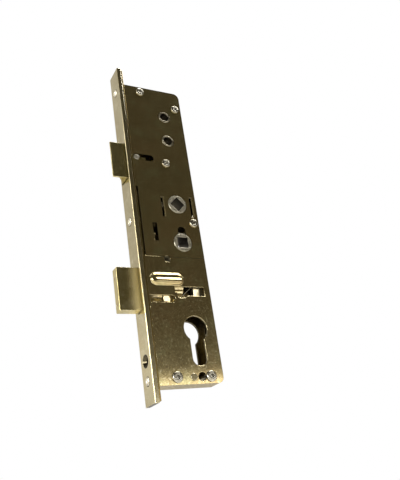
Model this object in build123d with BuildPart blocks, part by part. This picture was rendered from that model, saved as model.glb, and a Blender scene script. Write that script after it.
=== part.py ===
from build123d import *
from math import atan2, cos, degrees, radians, sin
import os

# Multipoint mortise lock, centre case, as a set of separate pieces.
#
# Frame (millimetres): +Z runs up the door edge, -X points out of the door edge (the way the
# bolts are thrown), and the case lies flat across Y. The origin is on the axis of the
# cylinder hole, in the middle of the case's thickness.

# ---- driving dimensions -------------------------------------------------------------------

BACKSET = 35.0                 # faceplate front to cylinder and spindle axes
UPPER_SPINDLE_Z = 92.0
LOWER_SPINDLE_Z = 62.0
SPINDLE_SQUARE = 8.1           # takes an 8 mm spindle
CASE_THICKNESS = 14.0
CASE_FRONT_X = -30.4
CASE_REAR_X = 15.0
CASE_TOP_Z = 192.0
CASE_BOTTOM_Z = -35.9
REAR_TOP_RADIUS = 4.5
REAR_BOTTOM_RADIUS = 3.5
COVER_SHEET = 1.2
TRAY_SHEET = 1.5
COVER_JOINT_Z = 50.4           # where the two covers meet
COVER_JOINT_GAP = 0.2

FACEPLATE_WIDTH = 16.0
FACEPLATE_SHEET = 2.9
FACEPLATE_BOTTOM_Z = -46.0
FACEPLATE_TOP_Z = 206.0
RAIL_WIDTH = 14.6
RAIL_SHEET = 1.5
RAIL_END_GAP = 1.0             # the rail stops this short of the faceplate ends

RAIL_TRAVEL = 9.0              # each way from rest
LATCH_TRAVEL = 10.5
LATCH_SWING = 36.0             # degrees on the lower follower
BOLT_TRAVEL = 15.2

# ---- planes across the case ----------------------------------------------------------------

Y_FRONT = -CASE_THICKNESS / 2
Y_BACK = CASE_THICKNESS / 2
Y_COVER_IN = Y_FRONT + COVER_SHEET
Y_TRAY_IN = Y_BACK - TRAY_SHEET
FRONT_LAYER = (-5.4, -3.3)     # slider, its follower finger, front throw lever
REAR_LAYER = (2.4, 5.2)        # latch link and latch lever
X_FACE = -BACKSET
X_FACE_BACK = X_FACE + FACEPLATE_SHEET
X_RAIL = X_FACE_BACK + 0.1

# ---- places in the side view (x, z) --------------------------------------------------------

CYLINDER_HEAD_RADIUS = 8.6
CYLINDER_STEM_WIDTH = 10.4
CYLINDER_FOOT_Z = -24.7
CYLINDER_SCREW_Z = -18.9
FACEPLATE_SCREW_Z = (187.8, 78.5, -31.5)
HANDLE_SCREW_Z = (167.5, 146.0)       # 243 mm and 200 mm handle plates
HANDLE_BUSH_BORE = 3.5
HANDLE_BUSH_RADIUS = 4.9
TOP_BLOCK_SCREW = (-18.0, 187.5)
BOTTOM_BLOCK_SCREW = (-17.8, -31.2)
LATCH_POST = (-4.4, 125.6)
COVER_POSTS = ((9.9, 176.5), (10.7, 77.7), (6.2, -31.5))
PLAIN_HOLE = (-0.1, -31.4)
PLAIN_HOLE_RADIUS = 2.9
LOCATING_PIN = (-6.1, -31.4)
LOCATING_PIN_RADIUS = 2.3
THREADED_BOSS = (-13.7, 48.9)
BOSS_MOUTH = 2.3               # hole in the covers' edges over the boss
THROW_PIVOT = (-2.5, 45.0)
POST_RADIUS = 3.3
SCREW_RADIUS = 1.95
UPPER_SCREW_HEAD = (3.1, 1.1)  # radius and height of the screw heads on each cover
LOWER_SCREW_HEAD = (3.6, 1.4)
UPPER_BOSS_RADIUS = 7.15
LOWER_BOSS_RADIUS = 6.95
BOSS_FIT = 0.07

LATCH_Z = (110.6, 138.9)
LATCH_Y = (-5.4, 5.2)
LATCH_TIP_X = -45.9
LATCH_BACK_X = -29.0
GUIDE_PIN = (-27.0, 128.3)
GUIDE_PIN_RADIUS = 2.1
LATCH_PIN_Z = 138.1
LATCH_LEVER_ARM = LATCH_PIN_Z - LATCH_POST[1]
LATCH_LEVER_HALF_SWING = degrees(atan2(LATCH_TRAVEL / 2, LATCH_LEVER_ARM))
LINK_ARM = 9.0
SPRING_ROD_Y = -1.8
SPRING_ROD_Z = 117.0

BOLT_Z = (13.1, 42.7)
BOLT_Y = (-4.0, 3.0)
BOLT_TIP_X = -50.0
BOLT_BACK_X = -22.0
BOLT_PIN_Z = 18.0
THROW_ARM = THROW_PIVOT[1] - BOLT_PIN_Z
CHEEK_X = (-28.0, -20.3)
CHEEK_RIVETS = ((-24.2, 26.6), (-24.2, 36.5))
HARDENED_PINS = ((0.4, 36.2), (0.4, 18.2))      # y, z of the two bores in the bolt
TAIL_TOP_Z = 24.0
DETENT_X = -4.8

# ---- followers, slider, link --------------------------------------------------------------

SLIDER_TONGUE_Z = (60.0, 97.0)
FINGER_RADIUS = 17.0           # upper follower centre to the middle of its finger tip
FINGER_TIP = 2.4
LOWER_FINGER_RADIUS = 11.3     # lower follower centre to the middle of its finger tip
LOWER_FINGER_TIP = 1.9
LOWER_FINGER_ANGLE = 180 + LATCH_SWING / 2
ANCHOR_PINS = ((1.6, UPPER_SPINDLE_Z - 11.9), (1.6, LOWER_SPINDLE_Z - 11.9))
LINK_X = (-16.5, -9.4)
BRACKET_X = (-8.0, -6.6)
TENON_RADIUS = 2.2             # riveted-over ends of posts in the tray
PIN_RADIUS = 1.48              # small pins, a light drive in their holes

os.makedirs("parts", exist_ok=True)


def flat(y_rear):
    """Sketch plane seen from the front of the case: local x is X, local y is Z."""
    return Plane.XZ.offset(-y_rear)


def edge_on(x):
    """Sketch plane across the case, seen along +X: local x is Y, local y is Z."""
    return Plane.YZ.offset(x)


def polar(centre, radius, angle):
    """Point at an angle from a centre in the side view, in degrees from +X towards +Z."""
    return (centre[0] + radius * cos(radians(angle)), centre[1] + radius * sin(radians(angle)))


def span(low, high):
    return high - low


def middle(low, high):
    return (low + high) / 2


def finish(piece, name):
    piece.part.label = name
    export_step(piece.part, f"parts/{name}.step")


def case_profile(inset, front_x):
    """Side view of the case, square at the front and rounded at the rear corners."""
    rear = CASE_REAR_X - inset
    top = CASE_TOP_Z - inset
    bottom = CASE_BOTTOM_Z + inset
    r_top = REAR_TOP_RADIUS - inset
    r_bottom = REAR_BOTTOM_RADIUS - inset
    with BuildSketch() as profile:
        with BuildLine():
            Line((front_x, bottom), (rear - r_bottom, bottom))
            CenterArc((rear - r_bottom, bottom + r_bottom), r_bottom, 270, 90)
            Line((rear, bottom + r_bottom), (rear, top - r_top))
            CenterArc((rear - r_top, top - r_top), r_top, 0, 90)
            Line((rear - r_top, top), (front_x, top))
            Line((front_x, top), (front_x, bottom))
        make_face()
    return profile.sketch


def cylinder_opening():
    """Profile-cylinder cut-out: round head with a stem below it."""
    stem_top = 0.0
    stem_radius = CYLINDER_STEM_WIDTH / 2
    foot = CYLINDER_FOOT_Z + stem_radius
    Circle(CYLINDER_HEAD_RADIUS, mode=Mode.SUBTRACT)
    with Locations((0, middle(foot, stem_top))):
        Rectangle(CYLINDER_STEM_WIDTH, span(foot, stem_top), mode=Mode.SUBTRACT)
    with Locations((0, foot)):
        Circle(stem_radius, mode=Mode.SUBTRACT)


def spot(place, radius):
    """Round hole in the current sketch."""
    with Locations(place):
        Circle(radius, mode=Mode.SUBTRACT)


def window(x, z, mode=Mode.SUBTRACT):
    """Rectangle given by its x range and z range."""
    with Locations((middle(*x), middle(*z))):
        Rectangle(span(*x), span(*z), mode=mode)


# ---- case tray: back plate with three folded walls ------------------------------------------

def make_case_tray():
    with BuildPart() as case_tray:
        with BuildSketch(flat(Y_BACK)):
            add(case_profile(0, CASE_FRONT_X))
            cylinder_opening()
            spot((0, UPPER_SPINDLE_Z), UPPER_BOSS_RADIUS + BOSS_FIT)
            spot((0, LOWER_SPINDLE_Z), LOWER_BOSS_RADIUS + BOSS_FIT)
            for z in HANDLE_SCREW_Z:
                spot((0, z), HANDLE_BUSH_RADIUS + 0.02)
            for place in COVER_POSTS + (LATCH_POST, THREADED_BOSS, THROW_PIVOT):
                spot(place, TENON_RADIUS + 0.02)
            spot(PLAIN_HOLE, PLAIN_HOLE_RADIUS)
            spot(LOCATING_PIN, LOCATING_PIN_RADIUS + 0.02)
        extrude(amount=TRAY_SHEET)
        with BuildSketch(flat(Y_TRAY_IN)):
            add(case_profile(0, CASE_FRONT_X))
            add(case_profile(TRAY_SHEET, CASE_FRONT_X - 1), mode=Mode.SUBTRACT)
        extrude(amount=span(Y_COVER_IN, Y_TRAY_IN))
        outer_bends = case_tray.faces().sort_by(Axis.Y)[-1].outer_wire().edges()
        fillet(outer_bends.filter_by(lambda edge: edge.center().X > CASE_FRONT_X + 0.1), 0.9)
    finish(case_tray, "case_tray")


# ---- covers ---------------------------------------------------------------------------------

def cover_sheet(low_z, high_z):
    """The case outline between two heights, with everything that both covers may need cut."""
    add(case_profile(0, CASE_FRONT_X))
    with Locations((0, middle(low_z, high_z))):
        Rectangle(100, span(low_z, high_z), mode=Mode.INTERSECT)
    spot(THREADED_BOSS, BOSS_MOUTH)


def beside_follower(wire):
    """True for the outlines of the two slots level with the upper follower."""
    centre = wire.bounding_box().center()
    return abs(centre.X) > 9 and abs(centre.Z - UPPER_SPINDLE_Z) < 5


def make_upper_cover():
    spring_slot = (1.3, 14.6)
    spring_slots = (-11.3, 89.4), (11.3, 91.1)
    tab_slot = (-21.4, -18.1), (62.2, 75.9)
    edge_slot = (CASE_FRONT_X - 1, -29.1), (51.0, 103.7)
    guide_slot_x = (-29.6, -13.9)
    guide_slot_height = 5.0
    keyhole_top = 71.2
    with BuildPart() as upper_cover:
        with BuildSketch(flat(Y_COVER_IN)):
            cover_sheet(COVER_JOINT_Z + COVER_JOINT_GAP / 2, CASE_TOP_Z)
            spot((0, UPPER_SPINDLE_Z), UPPER_BOSS_RADIUS + BOSS_FIT)
            spot((0, LOWER_SPINDLE_Z), LOWER_BOSS_RADIUS + BOSS_FIT)
            for z in HANDLE_SCREW_Z:
                spot((0, z), HANDLE_BUSH_RADIUS + 0.02)
            for place in COVER_POSTS[:2] + (LATCH_POST, TOP_BLOCK_SCREW):
                spot(place, SCREW_RADIUS + 0.15)
            with Locations(*spring_slots):
                Rectangle(*spring_slot, mode=Mode.SUBTRACT)
            window(*tab_slot)
            window(*edge_slot)
            with Locations((0.3, keyhole_top)):
                Circle(3.0, mode=Mode.SUBTRACT)
            window((-2.7, 3.3), (LOWER_SPINDLE_Z + 5, keyhole_top))
            with Locations((middle(*guide_slot_x), GUIDE_PIN[1])):
                SlotOverall(span(*guide_slot_x), guide_slot_height, mode=Mode.SUBTRACT)
        extrude(amount=COVER_SHEET)
        # the two slots beside the follower are pressed, so their edges slope
        mouths = upper_cover.faces().sort_by(Axis.Y)[0].inner_wires()
        sloped = [wire for wire in mouths if beside_follower(wire)]
        chamfer([edge for wire in sloped for edge in wire.edges()], 0.7)
    finish(upper_cover, "upper_cover")


def make_lower_cover():
    bead_x = (-27.6, -4.4)
    bead_z = (30.3, 38.3)
    bead_height = 1.2
    left_window = (-29.6, -11.4), (17.9, 22.9)
    right_window = (-9.9, 11.0), (22.6, 29.0)
    left_step = (-11.2, -9.9), (25.0, 29.0)
    with BuildPart() as lower_cover:
        with BuildSketch(flat(Y_COVER_IN)):
            cover_sheet(CASE_BOTTOM_Z, COVER_JOINT_Z - COVER_JOINT_GAP / 2)
            cylinder_opening()
            for place in (BOTTOM_BLOCK_SCREW, COVER_POSTS[2]):
                spot(place, SCREW_RADIUS + 0.15)
            spot(PLAIN_HOLE, PLAIN_HOLE_RADIUS)
            spot(LOCATING_PIN, LOCATING_PIN_RADIUS + 0.02)
            # the left window is square at its left end and rounded at its right end
            radius = span(*left_window[1]) / 2
            window((left_window[0][0], left_window[0][1] - radius), left_window[1])
            with Locations((left_window[0][1] - radius, middle(*left_window[1]))):
                Circle(radius, mode=Mode.SUBTRACT)
            window(*right_window)
            window(*left_step)
            with Locations((-6.4, right_window[1][0])):
                SlotOverall(6.8, 3.0, mode=Mode.SUBTRACT)
        extrude(amount=COVER_SHEET)
        # pressed stiffening bead
        with BuildSketch(flat(Y_FRONT)):
            with Locations((middle(*bead_x), middle(*bead_z))):
                SlotOverall(span(*bead_x), span(*bead_z))
        extrude(amount=bead_height)
        crest = lower_cover.faces().sort_by(Axis.Y)[0]
        fillet(crest.outer_wire().edges(), bead_height - 0.1)
        # hollow behind the bead
        with BuildSketch(flat(Y_COVER_IN)):
            with Locations((middle(*bead_x), middle(*bead_z))):
                SlotOverall(span(*bead_x) - 2.6, span(*bead_z) - 2.6)
        extrude(amount=bead_height, mode=Mode.SUBTRACT)
    finish(lower_cover, "lower_cover")


# ---- faceplate and drive rail ---------------------------------------------------------------

def make_faceplate():
    latch_slot = (-5.9, 6.1), (LATCH_Z[0] - 0.6, LATCH_Z[1] + 0.6)
    bolt_slot = (-4.4, 3.4), (BOLT_Z[0] - 0.6, BOLT_Z[1] + 0.6)
    front = Plane(origin=(X_FACE, 0, 0), x_dir=(0, -1, 0), z_dir=(-1, 0, 0))
    with BuildPart() as faceplate:
        with BuildSketch(edge_on(X_FACE)):
            with Locations((0, middle(FACEPLATE_BOTTOM_Z, FACEPLATE_TOP_Z))):
                Rectangle(FACEPLATE_WIDTH, span(FACEPLATE_BOTTOM_Z, FACEPLATE_TOP_Z))
            for y, z in (latch_slot, bolt_slot):
                with Locations((middle(*y), middle(*z))):
                    RectangleRounded(span(*y), span(*z), 0.7, mode=Mode.SUBTRACT)
        extrude(amount=FACEPLATE_SHEET)
        long_edges = faceplate.edges().filter_by(Axis.Z).group_by(Axis.X)[0].group_by(Axis.Y)
        fillet(long_edges[0] + long_edges[-1], 0.9)
        with Locations(front):
            with Locations(*[(0, z) for z in FACEPLATE_SCREW_Z]):
                CounterSinkHole(SCREW_RADIUS + 0.1, 3.1)
            with Locations((0, CYLINDER_SCREW_Z)):
                CounterSinkHole(2.6, 4.3)
    finish(faceplate, "faceplate")


def make_drive_rail():
    slack = 0.5
    run = RAIL_TRAVEL + slack
    latch_slot = (-6.0, 5.8), (LATCH_Z[0] - run, LATCH_Z[1] + run)
    bolt_slot = (-4.6, 3.6), (BOLT_Z[0] - run, BOLT_Z[1] + run)
    nose_slot = 5.9
    tongue_y = (FRONT_LAYER[0] - 0.05, FRONT_LAYER[1] + 0.05)
    with BuildPart() as drive_rail:
        with BuildSketch(edge_on(X_RAIL)):
            low = FACEPLATE_BOTTOM_Z + RAIL_END_GAP
            high = FACEPLATE_TOP_Z - RAIL_END_GAP
            window((-RAIL_WIDTH / 2, RAIL_WIDTH / 2), (low, high), Mode.ADD)
            window(*latch_slot)
            window(*bolt_slot)
            for z in FACEPLATE_SCREW_Z[:2]:
                window((-nose_slot / 2, nose_slot / 2), (z - run - 2.7, z + run + 2.7))
            window((-nose_slot / 2, nose_slot / 2), (low + 1.5, CYLINDER_SCREW_Z + run + 3.0))
            for z in SLIDER_TONGUE_Z:
                window(tongue_y, (z - 2.05, z + 2.05))
        extrude(amount=RAIL_SHEET)
        fillet(drive_rail.edges().filter_by(Axis.Z).group_by(Axis.Y)[0], 0.3)
    finish(drive_rail, "drive_rail")


def make_drive_slider():
    """Plate just behind the cover: a notch for the follower's finger, tongues into the rail."""
    notch = (-20.6, -12.9), (UPPER_SPINDLE_Z - 2.8, UPPER_SPINDLE_Z + 2.8)
    with BuildPart() as drive_slider:
        with BuildSketch(flat(FRONT_LAYER[1])):
            window((-30.2, -17.3), (56.5, 101.0), Mode.ADD)
            window((-18.0, -13.0), (84.5, 99.5), Mode.ADD)
            for z in SLIDER_TONGUE_Z:
                window((-31.9, -29.0), (z - 2.0, z + 2.0), Mode.ADD)
            window(*notch)
            window((-22.4, -17.4), (61.3, 79.5))
            window((-21.1, -19.3), (60.8, 68.6), Mode.ADD)
        extrude(amount=span(*FRONT_LAYER))
        fillet(drive_slider.edges().filter_by(Axis.Y).group_by(Axis.X)[-1], 0.8)
    finish(drive_slider, "drive_slider")


# ---- blocks, posts, pins and screws that hold the case together ------------------------------

def make_mounting_block(name, x, z_range, screw_z, y_front, case_screw=None):
    """Block behind the faceplate, tapped for its screw, with a round nose through the rail."""
    nose_radius = 2.6
    screw_depth = 6.5
    with BuildPart() as block:
        with BuildSketch(flat(Y_TRAY_IN)):
            window(x, z_range, Mode.ADD)
        extrude(amount=span(y_front, Y_TRAY_IN))
        with BuildSketch(edge_on(X_FACE_BACK)):
            with Locations((0, screw_z)):
                Circle(nose_radius)
        extrude(amount=x[0] - X_FACE_BACK)
        with BuildSketch(edge_on(X_FACE_BACK)):
            with Locations((0, screw_z)):
                Circle(SCREW_RADIUS + 0.05)
        extrude(amount=screw_depth, mode=Mode.SUBTRACT)
        if case_screw:
            with BuildSketch(flat(1.0)):
                with Locations(case_screw):
                    Circle(SCREW_RADIUS + 0.05)
            extrude(amount=10, mode=Mode.SUBTRACT)
    finish(block, name)


def make_post(name, places, radius):
    """Shouldered tapped post from the tray to the cover, its tenon closed over in the tray."""
    with BuildPart() as post:
        with BuildSketch(flat(Y_TRAY_IN)):
            with Locations(*places):
                Circle(radius)
        extrude(amount=span(Y_COVER_IN, Y_TRAY_IN))
        with BuildSketch(flat(Y_BACK)):
            with Locations(*places):
                Circle(TENON_RADIUS)
        extrude(amount=TRAY_SHEET)
        with BuildSketch(flat(1.5)):
            with Locations(*places):
                Circle(SCREW_RADIUS + 0.05)
        extrude(amount=10, mode=Mode.SUBTRACT)
    finish(post, name)


def make_threaded_boss():
    """Tapped right through, with a short nose in the hole of the covers."""
    bore_radius = 1.7
    nose_radius = 2.05
    nose_y = Y_COVER_IN - 0.8
    with BuildPart() as threaded_boss:
        with BuildSketch(flat(Y_TRAY_IN)):
            with Locations(THREADED_BOSS):
                Circle(POST_RADIUS - 0.2)
        extrude(amount=span(Y_COVER_IN, Y_TRAY_IN))
        with BuildSketch(flat(Y_COVER_IN)):
            with Locations(THREADED_BOSS):
                Circle(nose_radius)
        extrude(amount=span(nose_y, Y_COVER_IN))
        with BuildSketch(flat(Y_BACK)):
            with Locations(THREADED_BOSS):
                Circle(TENON_RADIUS)
        extrude(amount=TRAY_SHEET)
        with BuildSketch(flat(Y_BACK)):
            with Locations(THREADED_BOSS):
                Circle(bore_radius)
        extrude(amount=CASE_THICKNESS, mode=Mode.SUBTRACT)
        mouth = threaded_boss.edges().filter_by(GeomType.CIRCLE).group_by(Axis.Y)[0]
        chamfer(mouth.sort_by(SortBy.RADIUS)[0], 0.25)
    finish(threaded_boss, "threaded_boss")


def make_throw_pivot():
    with BuildPart() as throw_pivot:
        with BuildSketch(flat(Y_BACK)):
            with Locations(THROW_PIVOT):
                Circle(TENON_RADIUS)
        extrude(amount=TRAY_SHEET)
        with BuildSketch(flat(Y_TRAY_IN)):
            with Locations(THROW_PIVOT):
                Circle(2.5)
        extrude(amount=span(Y_COVER_IN, Y_TRAY_IN) - 0.1)
    finish(throw_pivot, "throw_pivot")


def make_handle_bush(name, z):
    with BuildPart() as bush:
        with BuildSketch(flat(Y_BACK)):
            with Locations((0, z)):
                Circle(HANDLE_BUSH_RADIUS)
                Circle(HANDLE_BUSH_BORE, mode=Mode.SUBTRACT)
        extrude(amount=CASE_THICKNESS)
        rims = bush.edges().filter_by(GeomType.CIRCLE)
        chamfer(rims.filter_by(lambda edge: edge.radius > HANDLE_BUSH_BORE + 0.1), 0.35)
    finish(bush, name)


def make_locating_pin():
    with BuildPart() as locating_pin:
        with BuildSketch(flat(Y_BACK)):
            with Locations(LOCATING_PIN):
                Circle(LOCATING_PIN_RADIUS)
        extrude(amount=CASE_THICKNESS)
    finish(locating_pin, "locating_pin")


def make_cover_screws(name, places, head):
    """Domed heads on the cover with a six-lobed recess, shanks into the posts and blocks."""
    shank_end_y = 0.8
    radius, height = head
    with BuildPart() as screws:
        with BuildSketch(flat(shank_end_y)):
            with Locations(*places):
                Circle(SCREW_RADIUS)
        extrude(amount=span(Y_FRONT, shank_end_y))
        with BuildSketch(flat(Y_FRONT)):
            with Locations(*places):
                Circle(radius)
        extrude(amount=height)
        crowns = screws.edges().filter_by(GeomType.CIRCLE).group_by(Axis.Y)[0]
        fillet(crowns, height - 0.25)
        with BuildSketch(flat(Y_FRONT - 0.1)):
            for place in places:
                with Locations(place):
                    Circle(1.15)
                    with PolarLocations(1.15, 6):
                        Circle(0.42)
        extrude(amount=2, mode=Mode.SUBTRACT)
    finish(screws, name)


def make_faceplate_screws():
    """Countersunk screws, flush with the faceplate front."""
    sink = 2.85
    with BuildPart() as faceplate_screws:
        for z in FACEPLATE_SCREW_Z:
            with BuildSketch(Plane.XY.offset(z)):
                with BuildLine():
                    Polyline(
                        (X_FACE, 0),
                        (X_FACE, sink),
                        (X_FACE + sink - SCREW_RADIUS, SCREW_RADIUS),
                        (X_FACE + 9.2, SCREW_RADIUS),
                        (X_FACE + 9.2, 0),
                        close=True,
                    )
                make_face()
            revolve(axis=Axis((X_FACE, 0, z), (1, 0, 0)))
        recess = Plane(origin=(X_FACE, 0, 0), x_dir=(0, -1, 0), z_dir=(-1, 0, 0))
        with BuildSketch(recess.offset(-1.2)):
            for z in FACEPLATE_SCREW_Z:
                with Locations((0, z)):
                    Circle(1.15)
                    with PolarLocations(1.15, 6):
                        Circle(0.42)
        extrude(amount=3, mode=Mode.SUBTRACT)
    finish(faceplate_screws, "faceplate_screws")


# ---- followers and their return springs ------------------------------------------------------

def arm(centre, reach, angle, root_half, tip_half, tip_radius):
    """Tapered arm with a round tip, pointing at an angle in degrees from +X towards +Z."""
    along = (cos(radians(angle)), sin(radians(angle)))
    across = (-along[1], along[0])

    def at(distance, side):
        return (centre[0] + distance * along[0] + side * across[0],
                centre[1] + distance * along[1] + side * across[1])

    with BuildSketch() as profile:
        with BuildLine():
            Polyline(
                at(0, -root_half),
                at(reach * 0.72, -tip_half),
                at(reach, -tip_half),
                at(reach, tip_half),
                at(reach * 0.72, tip_half),
                at(0, root_half),
                close=True,
            )
        make_face()
        with Locations(at(reach, 0)):
            Circle(tip_radius)
    return profile.sketch


def dimple_ring(centre, angle):
    """Punch marks on a follower's boss, beside the flats of its square."""
    with Locations(centre):
        with PolarLocations(5.75, 8, start_angle=angle + 11):
            Circle(0.45)


def make_upper_follower():
    """Round boss through both plates, a disc between them and one finger in the front layer."""
    centre = (0, UPPER_SPINDLE_Z)
    with BuildPart() as upper_follower:
        with BuildSketch(flat(Y_BACK + 0.1)):
            with Locations(centre):
                Circle(UPPER_BOSS_RADIUS)
        extrude(amount=CASE_THICKNESS + 0.2)
        with BuildSketch(flat(2.0)):
            with Locations(centre):
                Circle(10.4)
        extrude(amount=span(FRONT_LAYER[0], 2.0))
        with BuildSketch(flat(FRONT_LAYER[1])):
            add(arm(centre, FINGER_RADIUS, 180, 5.0, 1.3, FINGER_TIP))
        extrude(amount=span(*FRONT_LAYER))
        with BuildSketch(flat(Y_BACK + 1)):
            with Locations(centre):
                Rectangle(SPINDLE_SQUARE, SPINDLE_SQUARE, rotation=45, mode=Mode.ADD)
        extrude(amount=CASE_THICKNESS + 2, mode=Mode.SUBTRACT)
        rims = upper_follower.edges().filter_by(GeomType.CIRCLE)
        rims = rims.filter_by(lambda edge: abs(edge.center().Y) > Y_BACK)
        chamfer(rims, 0.4)
        with BuildSketch(flat(Y_FRONT + 0.3)):
            dimple_ring(centre, 45)
        extrude(amount=1, mode=Mode.SUBTRACT)
    finish(upper_follower, "upper_follower")


def make_lower_follower():
    """Like the upper follower, with its finger in the rear layer, on the latch link."""
    centre = (0, LOWER_SPINDLE_Z)
    with BuildPart() as lower_follower:
        with BuildSketch(flat(Y_BACK + 0.1)):
            with Locations(centre):
                Circle(LOWER_BOSS_RADIUS)
        extrude(amount=CASE_THICKNESS + 0.2)
        with BuildSketch(flat(2.0)):
            with Locations(centre):
                Circle(9.8)
        extrude(amount=span(-2.6, 2.0))
        with BuildSketch(flat(REAR_LAYER[1])):
            with Locations(centre):
                Circle(8.4)
            add(arm(centre, LOWER_FINGER_RADIUS, LOWER_FINGER_ANGLE, 4.5, 1.3, LOWER_FINGER_TIP))
        extrude(amount=span(2.0, REAR_LAYER[1]))
        with BuildSketch(flat(Y_BACK + 1)):
            with Locations(centre):
                Rectangle(SPINDLE_SQUARE, SPINDLE_SQUARE)
        extrude(amount=CASE_THICKNESS + 2, mode=Mode.SUBTRACT)
        rims = lower_follower.edges().filter_by(GeomType.CIRCLE)
        rims = rims.filter_by(lambda edge: abs(edge.center().Y) > Y_BACK)
        chamfer(rims, 0.4)
        with BuildSketch(flat(Y_FRONT + 0.3)):
            dimple_ring(centre, 0)
        extrude(amount=1, mode=Mode.SUBTRACT)
    finish(lower_follower, "lower_follower")


def make_return_spring(name, centre_z, y_range, mean_radius):
    """Torsion spring: a turn and a half round the follower's boss and two short legs."""
    wire = 0.4
    turns = 1.6
    leg = 3.6
    height = span(*y_range) - 2 * wire
    start = (0, y_range[1] - wire, centre_z)
    with BuildPart() as spring:
        with BuildLine():
            coil = Helix(height / turns, height, mean_radius, center=start, direction=(0, -1, 0))
        with BuildSketch(Plane(origin=coil @ 0, z_dir=coil % 0)):
            Circle(wire)
        sweep(path=coil)
        for end in (coil @ 0, coil @ 1):
            outward = Vector(end.X, 0, end.Z - centre_z).normalized()
            with BuildSketch(Plane(origin=end, z_dir=outward)):
                Circle(wire)
            extrude(amount=leg)
    finish(spring, name)


def make_spring_anchor_pins():
    with BuildPart() as spring_anchor_pins:
        with BuildSketch(flat(Y_TRAY_IN)):
            with Locations(*ANCHOR_PINS):
                Circle(1.1)
        extrude(amount=span(Y_COVER_IN + 0.4, Y_TRAY_IN))
    finish(spring_anchor_pins, "spring_anchor_pins")


# ---- latch: link, lever, bolt, spring ---------------------------------------------------------

def make_latch_link():
    """Strip behind the followers. Open notches take the follower's finger and the lever."""
    finger_z = LOWER_SPINDLE_Z - LOWER_FINGER_RADIUS * sin(radians(LATCH_SWING / 2))
    lever_z = LATCH_POST[1] - LINK_ARM * sin(radians(LATCH_LEVER_HALF_SWING))
    with BuildPart() as latch_link:
        with BuildSketch(flat(REAR_LAYER[1])):
            window(LINK_X, (53.8, 127.4), Mode.ADD)
            window((-13.8, LINK_X[1] + 1), (finger_z - 2.25, finger_z + 2.25))
            window((-15.6, LINK_X[1] + 1), (lever_z - 2.2, lever_z + 2.2))
            window((-11.0, LINK_X[1] + 1), (116.5, 128))
            with Locations((middle(*LINK_X), 92)):
                SlotOverall(40, 2.6, rotation=90, mode=Mode.SUBTRACT)
        extrude(amount=span(*REAR_LAYER))
    finish(latch_link, "latch_link")


def make_latch_lever():
    """Bell crank on its post: one arm in the link, a fork round the latch's pin."""
    fork_angle = 90 + LATCH_LEVER_HALF_SWING
    link_angle = 180 + LATCH_LEVER_HALF_SWING
    fork_reach = 15.4
    with BuildPart() as latch_lever:
        with BuildSketch(flat(REAR_LAYER[1])):
            with Locations(LATCH_POST):
                Circle(5.1)
            add(arm(LATCH_POST, LINK_ARM, link_angle, 3.6, 1.2, 1.8))
            with Locations(polar(LATCH_POST, fork_reach / 2, fork_angle)):
                Rectangle(fork_reach, 6.4, rotation=fork_angle)
            with Locations(polar(LATCH_POST, 14.9, fork_angle)):
                SlotOverall(9.4, 3.7, rotation=fork_angle, mode=Mode.SUBTRACT)
            with Locations(LATCH_POST):
                Circle(POST_RADIUS + 0.08, mode=Mode.SUBTRACT)
        extrude(amount=span(*REAR_LAYER))
    finish(latch_lever, "latch_lever")


def latch_pin_place():
    return (LATCH_POST[0] - LATCH_TRAVEL / 2, LATCH_PIN_Z)


def make_latch_bolt():
    """Hollowed bevel on the head, a tongue for the guide pin, a tail for the lever's pin."""
    tip = 1.2
    tail_y = (-2.4, 1.9)
    tongue_y = (-5.4, -1.2)
    with BuildPart() as latch_bolt:
        with BuildSketch(Plane.XY.offset(LATCH_Z[0])):
            with BuildLine():
                Polyline(
                    (LATCH_TIP_X, LATCH_Y[0]),
                    (LATCH_BACK_X, LATCH_Y[0]),
                    (LATCH_BACK_X, LATCH_Y[1]),
                    (X_FACE + 0.6, LATCH_Y[1]),
                    (X_FACE - 3.0, -0.3),
                    (X_FACE - 6.0, LATCH_Y[0] + tip),
                    (LATCH_TIP_X, LATCH_Y[0] + tip),
                    close=True,
                )
            make_face()
        extrude(amount=span(*LATCH_Z))
        fillet(latch_bolt.edges().filter_by(Axis.Z).group_by(Axis.X)[0], 0.4)
        with BuildSketch(flat(tongue_y[1])):
            window((LATCH_BACK_X - 1, -24.6), (124.2, 130.8), Mode.ADD)
            window((LATCH_BACK_X - 1, -19.4), (124.2, 129.2), Mode.ADD)
        extrude(amount=span(*tongue_y))
        with BuildSketch(flat(tail_y[1])):
            window((LATCH_BACK_X - 1, latch_pin_place()[0] + 2.6), (134.8, 140.4), Mode.ADD)
        extrude(amount=span(*tail_y))
        with BuildSketch(edge_on(LATCH_BACK_X)):
            with Locations((SPRING_ROD_Y, SPRING_ROD_Z)):
                Circle(1.55)
        extrude(amount=-4, mode=Mode.SUBTRACT)
        with BuildSketch(flat(LATCH_Y[1] + 1)):
            with Locations(GUIDE_PIN, latch_pin_place()):
                Circle(1.5)
        extrude(amount=span(*LATCH_Y) + 2, mode=Mode.SUBTRACT)
    finish(latch_bolt, "latch_bolt")


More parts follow.
